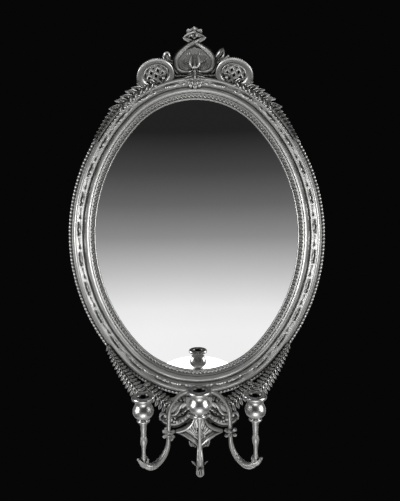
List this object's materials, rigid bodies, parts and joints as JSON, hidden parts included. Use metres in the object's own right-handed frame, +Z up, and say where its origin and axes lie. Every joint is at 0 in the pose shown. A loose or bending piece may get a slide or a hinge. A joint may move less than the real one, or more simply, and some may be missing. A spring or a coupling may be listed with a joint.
{
  "type": "girandole wall mirror",
  "caption": "Oval girandole mirror in a moulded, silver-leafed frame with carved cresting and pendant, and S-shaped candle arms that swing in sockets below the glass.",
  "frame": {"origin": "centre of the mirror's oval, on the wall plane at the frame's back", "axes": "+X to the viewer's right, +Y into the wall, +Z up; the front faces -Y"},
  "size_m": [0.688, 0.2006, 1.1287],
  "materials": {
    "leafed_moulding": "silver leaf over gesso, toned, rubbed on the high edges",
    "leafed_carving": "silver leaf over carved wood, darker in the hollows",
    "leafed_arm": "silver leaf on metal, satin",
    "burnished_cup": "burnished silver, glossy",
    "silvered_glass": "clear plate, silvered on the back",
    "back_pine": "old planed pine, unpainted",
    "dark_iron": "dark wrought iron, dull"
  },
  "bodies": {
    "frame": {"apron_board": "back_pine", "apron_bow": "leafed_carving", "apron_foliage_left": "leafed_carving", "apron_foliage_right": "leafed_carving", "apron_scroll_left": "leafed_carving", "apron_scroll_right": "leafed_carving", "apron_spray_left": "leafed_carving", "apron_spray_right": "leafed_carving", "arm_bracket": "dark_iron", "backboard": "back_pine", "backboard_nails": "dark_iron", "bead_edge": "leafed_moulding", "crest_band_left": "leafed_carving", "crest_band_right": "leafed_carving", "crest_board": "back_pine", "crest_bud": "leafed_carving", "crest_finial": "leafed_carving", "crest_leaf_pair": "leafed_carving", "crest_panel": "leafed_carving", "crest_rail": "leafed_carving", "crest_shell": "leafed_carving", "crest_sprig_left": "leafed_carving", "crest_sprig_right": "leafed_carving", "felloe_bottom": "leafed_moulding", "felloe_left": "leafed_moulding", "felloe_right": "leafed_moulding", "felloe_top": "leafed_moulding", "glass_blocks": "back_pine", "hanger_plate_left": "dark_iron", "hanger_plate_right": "dark_iron", "leaf_trail": "leafed_moulding", "mirror_plate": "silvered_glass", "pendant_calyx": "leafed_carving", "pendant_frame": "leafed_carving", "pendant_shell": "leafed_carving", "shoulder_scroll_left": "leafed_carving", "shoulder_scroll_right": "leafed_carving", "shoulder_spray_left": "leafed_carving", "shoulder_spray_right": "leafed_carving", "shoulder_trellis_left": "leafed_carving", "shoulder_trellis_right": "leafed_carving", "sight_slip": "leafed_moulding", "wood_screws": "dark_iron"},
    "arm_left": {"candle_arm_left": "leafed_arm", "cup_collar_left": "burnished_cup", "candle_cup_left": "burnished_cup"},
    "arm_centre": {"candle_arm_centre": "leafed_arm", "cup_collar_centre": "burnished_cup", "candle_cup_centre": "burnished_cup"},
    "arm_right": {"candle_arm_right": "leafed_arm", "cup_collar_right": "burnished_cup", "candle_cup_right": "burnished_cup"},
    "ring_left": {"hanging_ring_left": "dark_iron"},
    "ring_right": {"hanging_ring_right": "dark_iron"}
  },
  "joints": [
    {"name": "arm_swing_left", "type": "hinge", "parent": "frame", "child": "arm_left", "pos_m": [-0.022, -0.058, -0.426], "axis": [0, 0, 1], "range_deg": [-15, 22]},
    {"name": "arm_swing_centre", "type": "hinge", "parent": "frame", "child": "arm_centre", "pos_m": [0, -0.058, -0.426], "axis": [0, 0, 1], "range_deg": [-20, 20]},
    {"name": "arm_swing_right", "type": "hinge", "parent": "frame", "child": "arm_right", "pos_m": [0.022, -0.058, -0.426], "axis": [0, 0, 1], "range_deg": [-22, 15]},
    {"name": "ring_swing_left", "type": "hinge", "parent": "frame", "child": "ring_left", "pos_m": [-0.29855, -0.0047, 0.12], "axis": [1, 0, 0], "range_deg": [0, 160]},
    {"name": "ring_swing_right", "type": "hinge", "parent": "frame", "child": "ring_right", "pos_m": [0.29855, -0.0047, 0.12], "axis": [1, 0, 0], "range_deg": [0, 160]}
  ]
}
